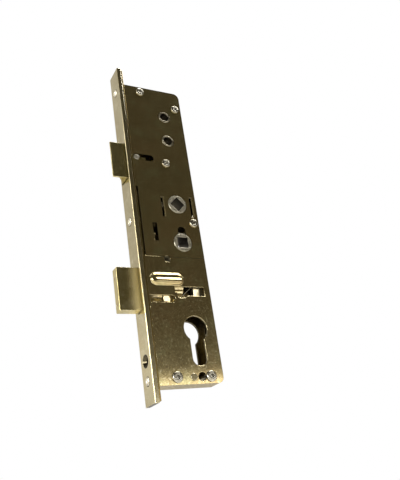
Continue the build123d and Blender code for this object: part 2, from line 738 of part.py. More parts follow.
def make_latch_pins():
    with BuildPart() as latch_guide_pin:
        with BuildSketch(flat(-1.2)):
            with Locations(GUIDE_PIN):
                Circle(PIN_RADIUS)
        extrude(amount=4.2)
        with BuildSketch(flat(-5.4)):
            with Locations(GUIDE_PIN):
                Circle(GUIDE_PIN_RADIUS)
        extrude(amount=1.5)
        fillet(latch_guide_pin.edges().filter_by(GeomType.CIRCLE).group_by(Axis.Y)[0], 0.3)
    finish(latch_guide_pin, "latch_guide_pin")
    with BuildPart() as latch_lever_pin:
        with BuildSketch(flat(REAR_LAYER[1] - 0.2)):
            with Locations(latch_pin_place()):
                Circle(PIN_RADIUS)
        extrude(amount=span(-2.4, REAR_LAYER[1] - 0.2))
    finish(latch_lever_pin, "latch_lever_pin")
    with BuildPart() as latch_spring_rod:
        with BuildSketch(edge_on(LATCH_BACK_X - 3.9)):
            with Locations((SPRING_ROD_Y, SPRING_ROD_Z)):
                Circle(1.5)
        extrude(amount=31.9)
        chamfer(latch_spring_rod.edges().filter_by(GeomType.CIRCLE).group_by(Axis.X)[-1], 0.4)
    finish(latch_spring_rod, "latch_spring_rod")


def make_latch_spring():
    wire = 0.4
    turns = 8
    length = span(LATCH_BACK_X, BRACKET_X[0]) - 2 * wire - 0.2
    start = (LATCH_BACK_X + wire + 0.1, SPRING_ROD_Y, SPRING_ROD_Z)
    with BuildPart() as latch_spring:
        with BuildLine():
            coil = Helix(length / turns, length, 2.7, center=start, direction=(1, 0, 0))
        with BuildSketch(Plane(origin=coil @ 0, z_dir=coil % 0)):
            Circle(wire)
        sweep(path=coil)
    finish(latch_spring, "latch_spring")


def make_latch_spring_bracket():
    """Angle bracket on the tray that the latch spring pushes against."""
    z_range = (112.8, 119.9)
    sheet = span(*BRACKET_X)
    with BuildPart() as bracket:
        with BuildSketch(flat(Y_TRAY_IN)):
            window((BRACKET_X[0], 1.5), z_range, Mode.ADD)
        extrude(amount=sheet)
        with BuildSketch(flat(Y_TRAY_IN)):
            window(BRACKET_X, z_range, Mode.ADD)
        extrude(amount=span(-5.0, Y_TRAY_IN))
        with BuildSketch(edge_on(BRACKET_X[0] - 1)):
            with Locations((SPRING_ROD_Y, SPRING_ROD_Z)):
                Circle(1.8)
        extrude(amount=sheet + 2, mode=Mode.SUBTRACT)
        with BuildSketch(flat(Y_TRAY_IN)):
            with Locations((-2.2, middle(*z_range))):
                Circle(1.45)
        extrude(amount=sheet, mode=Mode.SUBTRACT)
    finish(bracket, "latch_spring_bracket")
    with BuildPart() as bracket_rivet:
        with BuildSketch(flat(Y_TRAY_IN)):
            with Locations((-2.2, middle(*z_range))):
                Circle(1.4)
        extrude(amount=sheet)
        with BuildSketch(flat(Y_TRAY_IN - sheet)):
            with Locations((-2.2, middle(*z_range))):
                Circle(2.3)
        extrude(amount=0.9)
        fillet(bracket_rivet.edges().filter_by(GeomType.CIRCLE).group_by(Axis.Y)[0], 0.6)
    finish(bracket_rivet, "bracket_rivet")


# ---- deadbolt, its cheeks, levers and detent ---------------------------------------------------

def bolt_pin_place():
    reach = BOLT_TRAVEL / 2
    return (THROW_PIVOT[0] - reach, BOLT_PIN_Z)


def make_deadbolt():
    """Rectangular bolt with a narrow tail, two bores for hardened pins and a detent notch."""
    tail_y = (-3.0, 2.0)
    tail_end = -2.6                # short of the cylinder's cam
    notch = 2.1
    with BuildPart() as deadbolt:
        with BuildSketch(flat(BOLT_Y[1])):
            window((BOLT_TIP_X, BOLT_BACK_X), BOLT_Z, Mode.ADD)
        extrude(amount=span(*BOLT_Y))
        fillet(deadbolt.faces().sort_by(Axis.X)[0].outer_wire().edges(), 0.5)
        with BuildSketch(flat(tail_y[1])):
            window((BOLT_BACK_X - 1, tail_end), (15.9, TAIL_TOP_Z), Mode.ADD)
            # one notch holds the bolt thrown, the other withdrawn
            with Locations((DETENT_X, TAIL_TOP_Z), (DETENT_X - BOLT_TRAVEL, TAIL_TOP_Z)):
                Rectangle(notch, notch, rotation=45, mode=Mode.SUBTRACT)
        extrude(amount=span(*tail_y))
        with BuildSketch(flat(BOLT_Y[1])):
            with Locations(*CHEEK_RIVETS, bolt_pin_place()):
                Circle(1.5)
        extrude(amount=span(*BOLT_Y), mode=Mode.SUBTRACT)
        with BuildSketch(edge_on(BOLT_TIP_X)):
            with Locations(*HARDENED_PINS):
                Circle(1.05)
        extrude(amount=24, mode=Mode.SUBTRACT)
    finish(deadbolt, "deadbolt")


def make_hardened_pins():
    with BuildPart() as hardened_pins:
        with BuildSketch(edge_on(BOLT_TIP_X + 0.1)):
            with Locations(*HARDENED_PINS):
                Circle(1.0)
        extrude(amount=23.6)
    finish(hardened_pins, "hardened_pins")


def make_cheek(name, y_range, with_finger):
    """Plate riveted to the bolt's side inside the case, which guides and retains it."""
    finger_z = (17.5, 23.4)
    finger_end = -14.6
    neck_z = (18.6, 24.0)
    groove_z = (21.7, 22.05)
    groove_depth = 0.35
    with BuildPart() as cheek:
        with BuildSketch(flat(y_range[1])):
            window(CHEEK_X, (14.2, 40.2), Mode.ADD)
            if with_finger:
                radius = span(*finger_z) / 2
                window((CHEEK_X[1] - 1, finger_end - radius), finger_z, Mode.ADD)
                with Locations((finger_end - radius, middle(*finger_z))):
                    Circle(radius)
                window((CHEEK_X[1], CHEEK_X[1] + 1), neck_z)
            for place in CHEEK_RIVETS:
                spot(place, 1.5)
        extrude(amount=span(*y_range))
        if with_finger:
            with BuildSketch(flat(y_range[0] + groove_depth)):
                window((CHEEK_X[0] - 1, CHEEK_X[1]), groove_z, Mode.ADD)
            extrude(amount=1, mode=Mode.SUBTRACT)
    finish(cheek, name)


def make_cheek_rivets():
    with BuildPart() as cheek_rivets:
        with BuildSketch(flat(5.1)):
            with Locations(*CHEEK_RIVETS):
                Circle(1.45)
        extrude(amount=span(-5.3, 5.1))
    finish(cheek_rivets, "cheek_rivets")


def make_bolt_drive_pin():
    with BuildPart() as bolt_drive_pin:
        with BuildSketch(flat(5.0)):
            with Locations(bolt_pin_place()):
                Circle(1.45)
        extrude(amount=span(-5.2, 5.0))
    finish(bolt_drive_pin, "bolt_drive_pin")


def make_throw_lever(name, y_range):
    """Lever swung by the cylinder's cam between its two tines; its slot drives the bolt's pin."""
    lean = -90 - throw_half_swing()
    with BuildPart() as lever:
        with BuildSketch(flat(y_range[1])):
            with Locations(THROW_PIVOT):
                Circle(4.3)
            with Locations(polar(THROW_PIVOT, THROW_ARM / 2, lean)):
                Rectangle(THROW_ARM, 6.4, rotation=lean)
            with Locations(polar(THROW_PIVOT, THROW_ARM + 0.8, lean)):
                Rectangle(9.6, 6.4, rotation=lean)
            with Locations(polar(THROW_PIVOT, THROW_ARM + 4.2, lean)):
                Rectangle(2.8, 8.4, rotation=lean)
            with Locations(polar(THROW_PIVOT, THROW_ARM + 0.4, lean)):
                SlotOverall(4.9, 3.5, rotation=lean, mode=Mode.SUBTRACT)
            with Locations(polar(THROW_PIVOT, THROW_ARM + 5.2, lean)):
                Rectangle(2.6, 4.4, rotation=lean, mode=Mode.SUBTRACT)
            with Locations(THROW_PIVOT):
                Circle(2.58, mode=Mode.SUBTRACT)
        extrude(amount=span(*y_range))
    finish(lever, name)


def throw_half_swing():
    """Half of the throw lever's swing, in degrees, from the bolt's travel and the arm."""
    return degrees(atan2(BOLT_TRAVEL / 2, THROW_ARM))


def make_tail_guide():
    """Fixed block above the bolt's tail, which also holds the detent spring."""
    z_range = (TAIL_TOP_Z + 0.4, 31.0)
    y_front = -2.9
    y_step = 2.6               # the rear throw lever swings behind the front part
    with BuildPart() as tail_guide:
        with BuildSketch(flat(Y_TRAY_IN)):
            window((10.8, 13.2), z_range, Mode.ADD)
        extrude(amount=span(y_front, Y_TRAY_IN))
        with BuildSketch(flat(y_step)):
            window((5.0, 13.2), z_range, Mode.ADD)
        extrude(amount=span(y_front, y_step))
        fillet(tail_guide.edges().filter_by(Axis.Y).group_by(Axis.X)[0], 1.2)
    finish(tail_guide, "tail_guide")


def make_detent_spring():
    """Leaf spring with a bent nose in the notch of the bolt's tail."""
    leaf = 0.45
    with BuildPart() as detent_spring:
        with BuildSketch(flat(1.6)):
            with BuildLine():
                path = Polyline(
                    (12.5, 31.4),
                    (4.7, 31.4),
                    (DETENT_X + 3.2, 26.0),
                    (DETENT_X, 23.3),
                    (DETENT_X - 1.5, 24.8),
                )
                offset(path, amount=leaf / 2, side=Side.BOTH)
            make_face()
        extrude(amount=4.0)
    finish(detent_spring, "detent_spring")


def main():
    make_case_tray()
    make_upper_cover()
    make_lower_cover()
    make_faceplate()
    make_drive_rail()
    make_drive_slider()
    x = (-30.2, -13.6)
    make_mounting_block("top_mounting_block", x, (183.8, 190.4), FACEPLATE_SCREW_Z[0],
                        Y_COVER_IN, TOP_BLOCK_SCREW)
    make_mounting_block("middle_mounting_block", (-30.2, -24.0), (74.8, 82.2),
                        FACEPLATE_SCREW_Z[1], -3.0)
    make_mounting_block("bottom_mounting_block", x, (-34.3, -28.0), FACEPLATE_SCREW_Z[2],
                        Y_COVER_IN, BOTTOM_BLOCK_SCREW)
    make_post("cover_posts", COVER_POSTS, 2.7)
    make_post("latch_lever_post", (LATCH_POST,), POST_RADIUS)
    make_threaded_boss()
    make_throw_pivot()
    make_handle_bush("upper_handle_bush", HANDLE_SCREW_Z[0])
    make_handle_bush("lower_handle_bush", HANDLE_SCREW_Z[1])
    make_locating_pin()
    make_cover_screws("upper_cover_screws", (TOP_BLOCK_SCREW, LATCH_POST) + COVER_POSTS[:2],
                      UPPER_SCREW_HEAD)
    make_cover_screws("lower_cover_screws", (BOTTOM_BLOCK_SCREW, COVER_POSTS[2]),
                      LOWER_SCREW_HEAD)
    make_faceplate_screws()
    make_upper_follower()
    make_lower_follower()
    make_return_spring("upper_return_spring", UPPER_SPINDLE_Z, (2.5, 5.1), 8.1)
    make_return_spring("lower_return_spring", LOWER_SPINDLE_Z, (-5.3, -2.8), 7.9)
    make_spring_anchor_pins()
    make_latch_link()
    make_latch_lever()
    make_latch_bolt()
    make_latch_pins()
    make_latch_spring()
    make_latch_spring_bracket()
    make_deadbolt()
    make_hardened_pins()
    make_cheek("front_cheek", (-5.4, BOLT_Y[0]), True)
    make_cheek("rear_cheek", (BOLT_Y[1], 5.2), False)
    make_cheek_rivets()
    make_bolt_drive_pin()
    make_throw_lever("front_throw_lever", FRONT_LAYER)
    make_throw_lever("rear_throw_lever", (2.9, 5.2))
    make_tail_guide()
    make_detent_spring()


main()
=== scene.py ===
from math import cos, pi, sin

import bmesh
import bpy
from mathutils import Matrix, Vector


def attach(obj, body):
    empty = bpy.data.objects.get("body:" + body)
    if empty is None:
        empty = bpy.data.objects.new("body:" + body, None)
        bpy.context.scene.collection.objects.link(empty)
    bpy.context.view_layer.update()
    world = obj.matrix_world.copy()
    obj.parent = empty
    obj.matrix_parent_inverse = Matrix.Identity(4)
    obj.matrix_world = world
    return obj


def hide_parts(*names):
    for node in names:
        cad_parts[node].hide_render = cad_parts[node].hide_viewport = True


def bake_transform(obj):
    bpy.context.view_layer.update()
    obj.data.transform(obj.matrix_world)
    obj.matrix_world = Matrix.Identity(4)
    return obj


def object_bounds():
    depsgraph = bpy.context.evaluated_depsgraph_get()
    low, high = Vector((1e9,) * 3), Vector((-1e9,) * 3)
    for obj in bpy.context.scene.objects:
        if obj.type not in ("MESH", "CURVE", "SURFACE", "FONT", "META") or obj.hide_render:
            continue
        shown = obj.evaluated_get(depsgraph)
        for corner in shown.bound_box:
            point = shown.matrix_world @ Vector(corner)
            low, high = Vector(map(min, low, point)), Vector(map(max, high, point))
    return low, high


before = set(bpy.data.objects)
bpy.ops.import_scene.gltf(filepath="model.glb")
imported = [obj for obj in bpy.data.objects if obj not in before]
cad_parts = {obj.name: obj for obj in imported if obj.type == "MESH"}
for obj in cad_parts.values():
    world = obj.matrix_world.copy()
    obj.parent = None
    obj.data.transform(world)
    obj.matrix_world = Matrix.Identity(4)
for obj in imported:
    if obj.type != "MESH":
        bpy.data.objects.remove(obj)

cad_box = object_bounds()

# Blender's own unit is the metre. Lengths of the object are written in millimetres, times MM.
MM = 0.001

# Where front faces lie, as y in millimetres. The front of the case is towards -y, the faceplate is
# towards -x, and z is up.
COVER_FRONT = -7.0
PLATE_FRONT = -5.4
GUIDE_FRONT = -2.9
# Where the faceplate's front face lies, as x in millimetres.
FACEPLATE_FRONT = -35.0

# Faces that meet at less than these angles, in radians, are shaded as one.
COVER_CREASE = 0.6
PLATE_CREASE = 0.1

# Sockets of a Mix node, which has its own ones for each kind of data.
FACTOR = 0
VECTOR_A, VECTOR_B, VECTOR_RESULT = 4, 5, 1
COLOUR_A, COLOUR_B, COLOUR_RESULT = 6, 7, 2


def add_object(name, data):
    """New object in the scene that shows a mesh, a light or a camera."""
    made = bpy.data.objects.new(name, data)
    bpy.context.scene.collection.objects.link(made)
    return made


# ---- camera and floor ----------------------------------------------------------------------------

CAMERA_PLACE = (-0.18474, -0.34285, -0.10550)
CAMERA_RIGHT = (0.88223, -0.44739, -0.14667)
CAMERA_UP = (-0.06334, -0.42147, 0.90463)
FOCAL_LENGTH = 45.16
SENSOR_WIDTH = 36


def make_camera():
    """Camera below and to the left of the case, looking up at its front cover and faceplate."""
    right = Vector(CAMERA_RIGHT).normalized()
    back = right.cross(Vector(CAMERA_UP).normalized()).normalized()
    up = back.cross(right)
    place = Matrix.Identity(4)
    for row in range(3):
        place[row][0] = right[row]
        place[row][1] = up[row]
        place[row][2] = back[row]
    place.translation = Vector(CAMERA_PLACE)
    data = bpy.data.cameras.new("camera")
    data.lens = FOCAL_LENGTH
    data.sensor_width = SENSOR_WIDTH
    data.clip_start = 0.01
    camera = add_object("camera", data)
    camera.matrix_world = place
    bpy.context.scene.camera = camera
    # with this transform a background of plain white stays white
    bpy.context.scene.view_settings.view_transform = "Standard"


def make_floor():
    """Pale floor well below the case, out of the picture."""
    reach = 4.0
    drop = 0.30
    level = cad_box[0][2] - drop
    corners = [(-reach, -reach, level), (reach, -reach, level), (reach, reach, level),
               (-reach, reach, level)]
    data = bpy.data.meshes.new("floor")
    data.from_pydata(corners, [], [(0, 1, 2, 3)])
    floor = add_object("floor", data)
    white = bpy.data.materials.new("floor_white")
    white.use_nodes = True
    shader = white.node_tree.nodes["Principled BSDF"]
    shader.inputs["Base Color"].default_value = (0.82, 0.81, 0.79, 1)
    shader.inputs["Roughness"].default_value = 0.7
    data.materials.append(white)


# ---- light ---------------------------------------------------------------------------------------

# Brightness of the room by height, from 0 straight down to 1 straight up, between two end colours.
FRONT_ENDS = ((0.60, 0.57, 0.52), (0.30, 0.29, 0.27))
FRONT_LEVELS = ((0.50, 0.80), (0.555, 0.55), (0.580, 0.24), (0.600, 0.12), (0.64, 0.085),
                (0.85, 0.062))
REAR_ENDS = ((0.70, 0.66, 0.58), (0.72, 0.69, 0.62))
REAR_LEVELS = ((0.57, 0.74), (0.61, 1.08), (0.66, 0.74), (0.72, 0.66), (0.82, 0.68))


def front_colour(level):
    """Grey that turns brown as it gets darker."""
    warmth = min(1.0, level / 0.5)
    return (level, level * (0.88 + 0.10 * warmth), level * (0.55 + 0.50 * warmth), 1)


def rear_colour(level):
    """Slightly warm grey."""
    return (level, level * 0.96, level * 0.88, 1)


def room_ramp(nodes, links, height, ends, levels, colour_of):
    """Colours of one half of the room, from bottom to top."""
    node = nodes.new("ShaderNodeValToRGB")
    stops = node.color_ramp.elements
    for stop, position, colour in zip(stops, (0.0, 1.0), ends):
        stop.position = position
        stop.color = (*colour, 1)
    for position, level in levels:
        stops.new(position).color = colour_of(level)
    links.new(height, node.inputs["Fac"])
    return node.outputs["Color"]


def make_world():
    """White to the camera. As light, bright behind; in front bright low down and dark above."""
    world = bpy.data.worlds.new("studio")
    bpy.context.scene.world = world
    world.use_nodes = True
    nodes = world.node_tree.nodes
    links = world.node_tree.links
    nodes.clear()
    direction = nodes.new("ShaderNodeTexCoord")
    split = nodes.new("ShaderNodeSeparateXYZ")
    links.new(direction.outputs["Generated"], split.inputs[0])
    height = nodes.new("ShaderNodeMath")
    height.operation = "MULTIPLY_ADD"
    height.inputs[1].default_value = 0.5
    height.inputs[2].default_value = 0.5
    links.new(split.outputs["Z"], height.inputs[0])
    front = room_ramp(nodes, links, height.outputs[0], FRONT_ENDS, FRONT_LEVELS, front_colour)
    rear = room_ramp(nodes, links, height.outputs[0], REAR_ENDS, REAR_LEVELS, rear_colour)
    behind = nodes.new("ShaderNodeMapRange")
    behind.inputs["From Min"].default_value = -0.25
    behind.inputs["From Max"].default_value = 0.35
    links.new(split.outputs["Y"], behind.inputs["Value"])
    room = nodes.new("ShaderNodeMix")
    room.data_type = "RGBA"
    links.new(behind.outputs[0], room.inputs[FACTOR])
    links.new(front, room.inputs[COLOUR_A])
    links.new(rear, room.inputs[COLOUR_B])
    lit = nodes.new("ShaderNodeBackground")
    lit.inputs["Strength"].default_value = 1.0
    links.new(room.outputs[COLOUR_RESULT], lit.inputs["Color"])
    seen = nodes.new("ShaderNodeBackground")
    seen.inputs["Color"].default_value = (1, 1, 1, 1)
    seen.inputs["Strength"].default_value = 1.0
    path = nodes.new("ShaderNodeLightPath")
    both = nodes.new("ShaderNodeMixShader")
    links.new(path.outputs["Is Camera Ray"], both.inputs[0])
    links.new(lit.outputs[0], both.inputs[1])
    links.new(seen.outputs[0], both.inputs[2])
    out = nodes.new("ShaderNodeOutputWorld")
    links.new(both.outputs[0], out.inputs["Surface"])


def area_light(name, place, size, power, colour):
    """Soft box that the camera doesn't see, turned towards the middle of the case."""
    middle = Vector((0, 0, 0.08))
    data = bpy.data.lights.new(name, "AREA")
    data.shape = "RECTANGLE"
    data.size, data.size_y = size
    data.energy = power
    data.color = colour
    light = add_object(name, data)
    light.location = place
    light.rotation_euler = (middle - Vector(place)).to_track_quat("-Z", "Y").to_euler()
    light.visible_camera = False


def light_the_scene():
    """Boxes overhead, at the left and at the front left, and a weak fill low at the front right."""
    area_light("overhead_box", (0.45, 0.05, 1.00), (0.7, 0.8), 20.0, (1.0, 0.98, 0.94))
    area_light("left_box", (-0.80, 0.10, 0.30), (0.4, 0.7), 5.0, (1.0, 0.97, 0.92))
    area_light("edge_box", (-0.80, -0.48, 0.10), (0.22, 0.45), 5.0, (1.0, 0.99, 0.95))
    area_light("low_fill", (0.45, -0.85, -0.02), (0.7, 0.18), 1.2, (1.0, 0.95, 0.85))


# ---- materials -----------------------------------------------------------------------------------

# Places on the covers and the tray that their look depends on, in millimetres. A pair is where a
# change of look starts and where it is complete.
CASE_MIDDLE_X, CASE_MIDDLE_Z = -7.7, 78.05
EDGE_FROM_MIDDLE_X = (22.9, 22.5)
EDGE_FROM_MIDDLE_Z = (113.6, 112.6)
COVER_JOINT_Z = 50.4
JOINT_WIDTH = (0.9, 0.5)
JOINT_STARTS_X = (-19.0, -17.0)
UPPER_COVER_Z = (49.0, 53.0)
CRISP_ABOVE_Z = (53.0, 56.0)
DULL_RIMS_Z = (118.0, 124.0)
NEW_TO_OLD_Z = (75.0, 0.0)
# How far from the middle of the faceplate the walls of its openings lie, in millimetres.
FACEPLATE_WALLS_Y = (6.4, 5.9)

SHADOW = (0.025, 0.021, 0.014)
DIRT_AND_SHADE_COLOUR = (0.05, 0.035, 0.02)
GRAIN_TINT = (0.62, 0.60, 0.55)
PATINA_TINT = (0.66, 0.63, 0.58)
GREEN_TINT = (0.80, 1.0, 0.92)
PINK_TINT = (1.0, 0.86, 0.90)
WEAR_AND_REFLECTION_TINT = (1.0, 0.84, 0.42)


class Plating:
    """A plated steel material in the making, with short calls for its shader nodes."""

    def __init__(self, name):
        self.material = bpy.data.materials.new(name)
        self.material.use_nodes = True
        self.nodes = self.material.node_tree.nodes
        self.links = self.material.node_tree.links
        self.shader = self.nodes["Principled BSDF"]
        self.shader.inputs["Metallic"].default_value = 1.0
        self.coords = self.nodes.new("ShaderNodeTexCoord").outputs["Object"]
        self.place = self.parts(self.coords)
        self.surface = self.nodes.new("ShaderNodeNewGeometry").outputs["Normal"]

    def join(self, socket, value):
        """Set a socket to a number or a colour, or link it to another node's output."""
        if isinstance(value, (int, float)):
            socket.default_value = value
        elif isinstance(value, tuple):
            socket.default_value = (*value, 1)
        else:
            self.links.new(value, socket)

    def parts(self, vector):
        """The X, Y and Z of a vector."""
        node = self.nodes.new("ShaderNodeSeparateXYZ")
        self.links.new(vector, node.inputs[0])
        return node.outputs

    def math(self, operation, a, b=0.0, clamp=False):
        node = self.nodes.new("ShaderNodeMath")
        node.operation = operation
        node.use_clamp = clamp
        self.join(node.inputs[0], a)
        self.join(node.inputs[1], b)
        return node.outputs[0]

    def add(self, a, b, clamp=False):
        return self.math("ADD", a, b, clamp)

    def times(self, a, b):
        return self.math("MULTIPLY", a, b)

    def distance(self, value, middle=0.0):
        return self.math("ABSOLUTE", self.math("SUBTRACT", value, middle))

    def blend(self, kind, amount, a, b):
        node = self.nodes.new("ShaderNodeMix")
        node.data_type = "RGBA"
        node.blend_type = kind
        for index, value in ((FACTOR, amount), (COLOUR_A, a), (COLOUR_B, b)):
            self.join(node.inputs[index], value)
        return node.outputs[COLOUR_RESULT]

    def spread(self, value, low, high, to_low=0.0, to_high=1.0):
        """Smooth step from to_low, where value is low, to to_high, where it is high."""
        node = self.nodes.new("ShaderNodeMapRange")
        node.interpolation_type = "SMOOTHSTEP"
        self.join(node.inputs[0], value)
        for index, limit in enumerate((low, high, to_low, to_high), start=1):
            self.join(node.inputs[index], limit)
        return node.outputs[0]

    def spread_mm(self, value, limits, to_low=0.0, to_high=1.0):
        """The same for a length, with its limits in millimetres."""
        low, high = limits
        return self.spread(value, low * MM, high * MM, to_low, to_high)

    def noise(self, scale, detail=3.0, roughness=0.5, stretch=(1, 1, 1), turn=(0, 0, 0)):
        """Noise with scale features to the millimetre, stretched and turned."""
        mapping = self.nodes.new("ShaderNodeMapping")
        mapping.inputs["Rotation"].default_value = turn
        mapping.inputs["Scale"].default_value = tuple(axis * 1000 * scale for axis in stretch)
        self.links.new(self.coords, mapping.inputs["Vector"])
        node = self.nodes.new("ShaderNodeTexNoise")
        node.inputs["Scale"].default_value = 1.0
        node.inputs["Detail"].default_value = detail
        node.inputs["Roughness"].default_value = roughness
        self.links.new(mapping.outputs[0], node.inputs["Vector"])
        return node.outputs["Fac"]


def add_patterns(steel, grain_axis, mottle):
    """The noises that colour, gloss and relief share."""
    along = {"X": (0.03, 1, 1), "Y": (1, 0.03, 1), "Z": (1, 1, 0.03)}[grain_axis]
    steel.drift = steel.noise(mottle, 4.0, 0.6)
    steel.cloud = steel.noise(mottle * 5, 3.0, 0.6)
    steel.drawn = steel.noise(3.2, 2.0, 0.6, along)
    steel.specks = steel.noise(1.6, 2.0, 0.7)
    steel.fine = steel.noise(7.0, 1.0, 0.5)
    steel.dust = steel.noise(0.8, 0.0, 0.3)
    steel.patina = steel.noise(0.55, 4.0, 0.75)
    one_way = steel.noise(2.6, 1.0, 0.4, (0.10, 1, 1), (0.0, 0.62, 0.0))
    other_way = steel.noise(2.3, 1.0, 0.4, (1, 1, 0.08), (0.0, 0.35, 0.0))
    third_way = steel.noise(2.9, 1.0, 0.4, (1, 1, 0.12), (0.0, -0.55, 0.0))
    lines = steel.math("MAXIMUM", steel.spread(one_way, 0.69, 0.75),
                       steel.spread(other_way, 0.70, 0.76))
    lines = steel.math("MAXIMUM", lines, steel.spread(third_way, 0.70, 0.76))
    steel.scratches = steel.times(lines, steel.spread(steel.cloud, 0.40, 0.65))


def add_edges_and_corners(steel, cavity):
    """Where sharp edges show wear and painted highlights, and where dirt and painted shade sit in
    corners.
    """
    rounded = steel.nodes.new("ShaderNodeBevel")
    rounded.samples = 4
    rounded.inputs["Radius"].default_value = 0.45 * MM
    steel.rounded = rounded.outputs[0]
    facing = steel.nodes.new("ShaderNodeVectorMath")
    facing.operation = "DOT_PRODUCT"
    steel.links.new(steel.rounded, facing.inputs[0])
    steel.links.new(steel.surface, facing.inputs[1])
    # wear and painted highlights along sharp edges, where the rounded normal turns from the surface
    rim = steel.spread(facing.outputs["Value"], 0.995, 0.80)
    steel.rim = steel.times(rim, steel.spread(steel.specks, 0.30, 0.60, 0.35, 1.0))
    # dirt and painted shade in corners and holes, from ambient occlusion
    hidden = steel.nodes.new("ShaderNodeAmbientOcclusion")
    hidden.samples = 4
    hidden.inputs["Distance"].default_value = cavity * MM
    steel.grime = steel.spread(hidden.outputs["AO"], 0.75, 0.25)


def add_sheet_marks(steel):
    """What differs from place to place on the covers and the tray."""
    from_middle_x = steel.distance(steel.place["X"], CASE_MIDDLE_X * MM)
    from_middle_z = steel.distance(steel.place["Z"], CASE_MIDDLE_Z * MM)
    steel.inner = steel.times(steel.spread_mm(from_middle_x, EDGE_FROM_MIDDLE_X),
                              steel.spread_mm(from_middle_z, EDGE_FROM_MIDDLE_Z))
    # the outer edges are rolled and dull, with little painted highlight, and the edges of the
    # windows show wear and strong painted highlights
    rim = steel.times(steel.rim, steel.spread(steel.inner, 0.0, 1.0, 0.35, 1.0))
    # the joint of the two covers is a dark line, with its painted edge highlights mostly taken away
    from_joint = steel.distance(steel.place["Z"], COVER_JOINT_Z * MM)
    steel.joint = steel.times(steel.spread_mm(from_joint, JOINT_WIDTH),
                              steel.spread_mm(steel.place["X"], JOINT_STARTS_X, 0.7, 1.0))
    rim = steel.times(rim, steel.math("SUBTRACT", 1.0, steel.times(steel.joint, 0.85)))
    # weaker painted highlights on the edges at the top of the case
    steel.rim = steel.times(rim, steel.spread_mm(steel.place["Z"], DULL_RIMS_Z, 1.0, 0.4))


def plated_colour(steel, tone, worn_and_highlight, dark, grain, speck, scratch, edge, shade, hue, age):
    """Drifting colour with grain, patina, specks, dust, scratches, edge wear with painted
    highlights, and dirt with painted shade in corners.
    """
    colour = steel.blend("MIX", steel.spread(steel.drift, 0.38, 0.64), tone, dark)
    cloudy = steel.times(steel.spread(steel.cloud, 0.45, 0.72), 0.16)
    colour = steel.blend("MIX", cloudy, colour, worn_and_highlight)
    grained = steel.times(steel.spread(steel.drawn, 0.35, 0.65), grain * 0.5)
    colour = steel.blend("MULTIPLY", grained, colour, GRAIN_TINT)
    dulled = steel.times(steel.spread(steel.patina, 0.52, 0.36), age)
    colour = steel.blend("MULTIPLY", dulled, colour, PATINA_TINT)
    brightened = steel.times(steel.spread(steel.patina, 0.54, 0.70), steel.times(age, 0.6))
    colour = steel.blend("MIX", brightened, colour, worn_and_highlight)
    specked = steel.times(steel.spread(steel.specks, 0.64, 0.74), speck)
    colour = steel.blend("MIX", specked, colour, tuple(0.35 * c for c in dark))
    if hue:
        # faint green and pink bands, as in thin passivated plating
        green = steel.times(steel.spread(steel.cloud, 0.50, 0.68), hue)
        colour = steel.blend("MULTIPLY", green, colour, GREEN_TINT)
        pink = steel.times(steel.spread(steel.drift, 0.55, 0.35), hue)
        colour = steel.blend("MULTIPLY", pink, colour, PINK_TINT)
    dusty = steel.times(steel.spread(steel.dust, 0.70, 0.76), steel.times(age, 1.2))
    colour = steel.blend("MIX", dusty, colour, worn_and_highlight)
    colour = steel.blend("MIX", steel.times(steel.scratches, scratch), colour, worn_and_highlight)
    # edges lightened: wear and painted highlights
    colour = steel.blend("MIX", steel.times(steel.rim, edge), colour, worn_and_highlight)
    # dirt and painted shade in corners, mixed into the colour
    return steel.blend("MIX", steel.times(steel.grime, shade), colour, DIRT_AND_SHADE_COLOUR)


def darken_walls(steel, colour, bore, bore_axis, sheet):
    """Painted shade: the walls of openings that run along bore_axis stay dark and dull."""
    normal = steel.parts(steel.surface)
    walls = steel.distance(normal[bore_axis])
    if bore_axis == "X":
        walls = steel.spread(walls, 0.98, 0.85)
        from_middle_y = steel.distance(steel.place["Y"])
        walls = steel.times(walls, steel.spread_mm(from_middle_y, FACEPLATE_WALLS_Y))
    else:
        walls = steel.spread(walls, 0.55, 0.15)
    if sheet:
        # painted shade, darker still on the upper cover, where the level walls count in full
        walls = steel.times(walls, steel.inner)
        bore = steel.spread_mm(steel.place["Z"], UPPER_COVER_Z, bore, 0.92)
        level = steel.times(steel.spread(steel.distance(normal["Z"]), 0.3, 0.6), steel.inner)
        level = steel.times(level, steel.spread_mm(steel.place["Z"], UPPER_COVER_Z))
        walls = steel.math("MAXIMUM", walls, level)
    return steel.blend("MIX", steel.times(walls, bore), colour, SHADOW)


def set_relief(steel, grain, scratch, age, sheet):
    """Grain, scratches and patina in the surface, and narrowly rounded edges."""
    height = steel.add(steel.times(steel.drawn, grain), steel.times(steel.fine, 0.12))
    height = steel.math("SUBTRACT", height, steel.times(steel.scratches, scratch * 1.2))
    height = steel.add(height, steel.times(steel.cloud, 0.3))
    height = steel.add(height, steel.times(steel.patina, steel.times(age, 1.2)))
    relief = steel.nodes.new("ShaderNodeBump")
    relief.inputs["Strength"].default_value = 0.35
    relief.inputs["Distance"].default_value = 0.03 * MM
    steel.links.new(height, relief.inputs["Height"])
    normal = steel.rounded
    if sheet:
        # edges stay crisp at the joint and on the upper cover
        mixed = steel.nodes.new("ShaderNodeMix")
        mixed.data_type = "VECTOR"
        crisp = steel.math("MAXIMUM", steel.joint,
                           steel.spread_mm(steel.place["Z"], CRISP_ABOVE_Z))
        steel.links.new(crisp, mixed.inputs[FACTOR])
        steel.links.new(steel.rounded, mixed.inputs[VECTOR_A])
        steel.links.new(steel.surface, mixed.inputs[VECTOR_B])
        normal = mixed.outputs[VECTOR_RESULT]
    steel.links.new(normal, relief.inputs["Normal"])
    steel.links.new(relief.outputs[0], steel.shader.inputs["Normal"])


